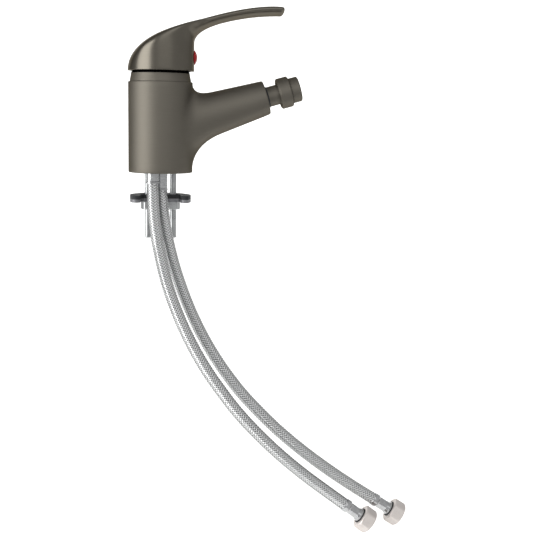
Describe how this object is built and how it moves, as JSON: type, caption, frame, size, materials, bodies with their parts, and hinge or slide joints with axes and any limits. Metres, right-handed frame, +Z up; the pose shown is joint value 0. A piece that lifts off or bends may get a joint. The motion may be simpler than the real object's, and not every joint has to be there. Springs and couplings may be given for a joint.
{
  "type": "bidet mixer",
  "caption": "Single-lever bidet mixer in brushed graphite with a rising spout, a ball-jointed nozzle, braided supply hoses with union nuts, and a horseshoe deck clamp on studs.",
  "frame": {"origin": "on the body's axis in the plane of the base gasket's underside, where the mixer sits on the deck", "axes": "+Z up out of the deck, +X from the body toward the spout and nozzle, +Y to the right of a user who faces the mixer from the nozzle's side"},
  "size_m": [0.2233, 0.0819, 0.4122],
  "materials": {
    "brushed_graphite": "fine brushed graphite plating",
    "black_rubber": "matt",
    "brass": "turned",
    "white_plastic": "moulded",
    "grey_plastic": "moulded",
    "ceramic_disc": "lapped ceramic",
    "zinc_steel": "zinc plated",
    "grey_steel": "pressed, mottled grey",
    "braided_steel": "braid of fine steel wire over a rubber hose",
    "pale_nickel": "pale nickel plate",
    "red_plastic": "gloss",
    "blue_plastic": "gloss"
  },
  "bodies": {
    "mixer": {"body": "brushed_graphite", "base_gasket": "black_rubber", "bonnet": "brushed_graphite", "cartridge_nut": "brass", "cartridge_housing": "white_plastic", "cartridge_base": "white_plastic", "cartridge_seals": "black_rubber", "fixed_disc": "ceramic_disc", "swivel_adaptor": "brushed_graphite", "adaptor_seal": "black_rubber", "studs": "zinc_steel", "hose_tails": "brass", "tail_seals": "black_rubber", "upper_ferrules": "zinc_steel", "hot_hose": "braided_steel", "cold_hose": "braided_steel", "lower_ferrules": "zinc_steel", "union_tails": "brass", "union_washers": "black_rubber"},
    "turret": {"rotor": "grey_plastic", "stem_pin": "zinc_steel"},
    "handle": {"lever": "brushed_graphite", "stem": "zinc_steel", "grub_screw": "zinc_steel", "index_hot": "red_plastic", "index_cold": "blue_plastic"},
    "slider": {"moving_disc": "ceramic_disc", "disc_carrier": "grey_plastic"},
    "nozzle_seat": {"ball_liner": "white_plastic"},
    "nozzle": {"nozzle_cap": "brushed_graphite", "nozzle_tip": "brushed_graphite", "aerator": "white_plastic", "aerator_gasket": "black_rubber"},
    "clamp": {"clamp_pad": "black_rubber", "clamp_plate": "grey_steel"},
    "left_nut": {"left_stud_nut": "zinc_steel"},
    "right_nut": {"right_stud_nut": "zinc_steel"},
    "hot_nut": {"hot_union_nut": "pale_nickel"},
    "cold_nut": {"cold_union_nut": "pale_nickel"}
  },
  "joints": [
    {"name": "temperature", "type": "hinge", "parent": "mixer", "child": "turret", "pos_m": [0, 0, 0.064], "axis": [0, 0, 1], "range_deg": [-45, 45]},
    {"name": "lift", "type": "hinge", "parent": "turret", "child": "handle", "pos_m": [0, 0, 0.064], "axis": [0, -1, 0], "range_deg": [0, 25]},
    {"name": "disc_slide", "type": "slide", "parent": "turret", "child": "slider", "axis": [1, 0, 0], "range_m": [0, 0.0048]},
    {"name": "nozzle_spin", "type": "hinge", "parent": "mixer", "child": "nozzle_seat", "pos_m": [0.09765, 0, 0.06366], "axis": [0.9613, 0, 0.2756], "continuous": true},
    {"name": "nozzle_tilt", "type": "hinge", "parent": "nozzle_seat", "child": "nozzle", "pos_m": [0.09765, 0, 0.06366], "axis": [0, 1, 0], "range_deg": [-10, 10]},
    {"name": "clamp_travel", "type": "slide", "parent": "mixer", "child": "clamp", "axis": [0, 0, 1], "range_m": [-0.004, 0.003]},
    {"name": "left_nut_turn", "type": "hinge", "parent": "clamp", "child": "left_nut", "pos_m": [-0.01, 0.00907, -0.0268], "axis": [0, 0, 1], "continuous": true},
    {"name": "right_nut_turn", "type": "hinge", "parent": "clamp", "child": "right_nut", "pos_m": [0.01, 0.00907, -0.0268], "axis": [0, 0, 1], "continuous": true},
    {"name": "hot_nut_spin", "type": "hinge", "parent": "mixer", "child": "hot_nut", "pos_m": [0.16326, -0.04628, -0.273], "axis": [0.8026, -0.0362, -0.5955], "continuous": true},
    {"name": "cold_nut_spin", "type": "hinge", "parent": "mixer", "child": "cold_nut", "pos_m": [0.18907, -0.03699, -0.27141], "axis": [0.8405, -0.0458, -0.5399], "continuous": true}
  ],
  "couplings": [
    {"joint": "disc_slide", "follows": "lift", "m_per_rad": 0.010914},
    {"joint": "left_nut_turn", "follows": "clamp_travel", "rad_per_m": 6283.2},
    {"joint": "right_nut_turn", "follows": "clamp_travel", "rad_per_m": 6283.2}
  ]
}
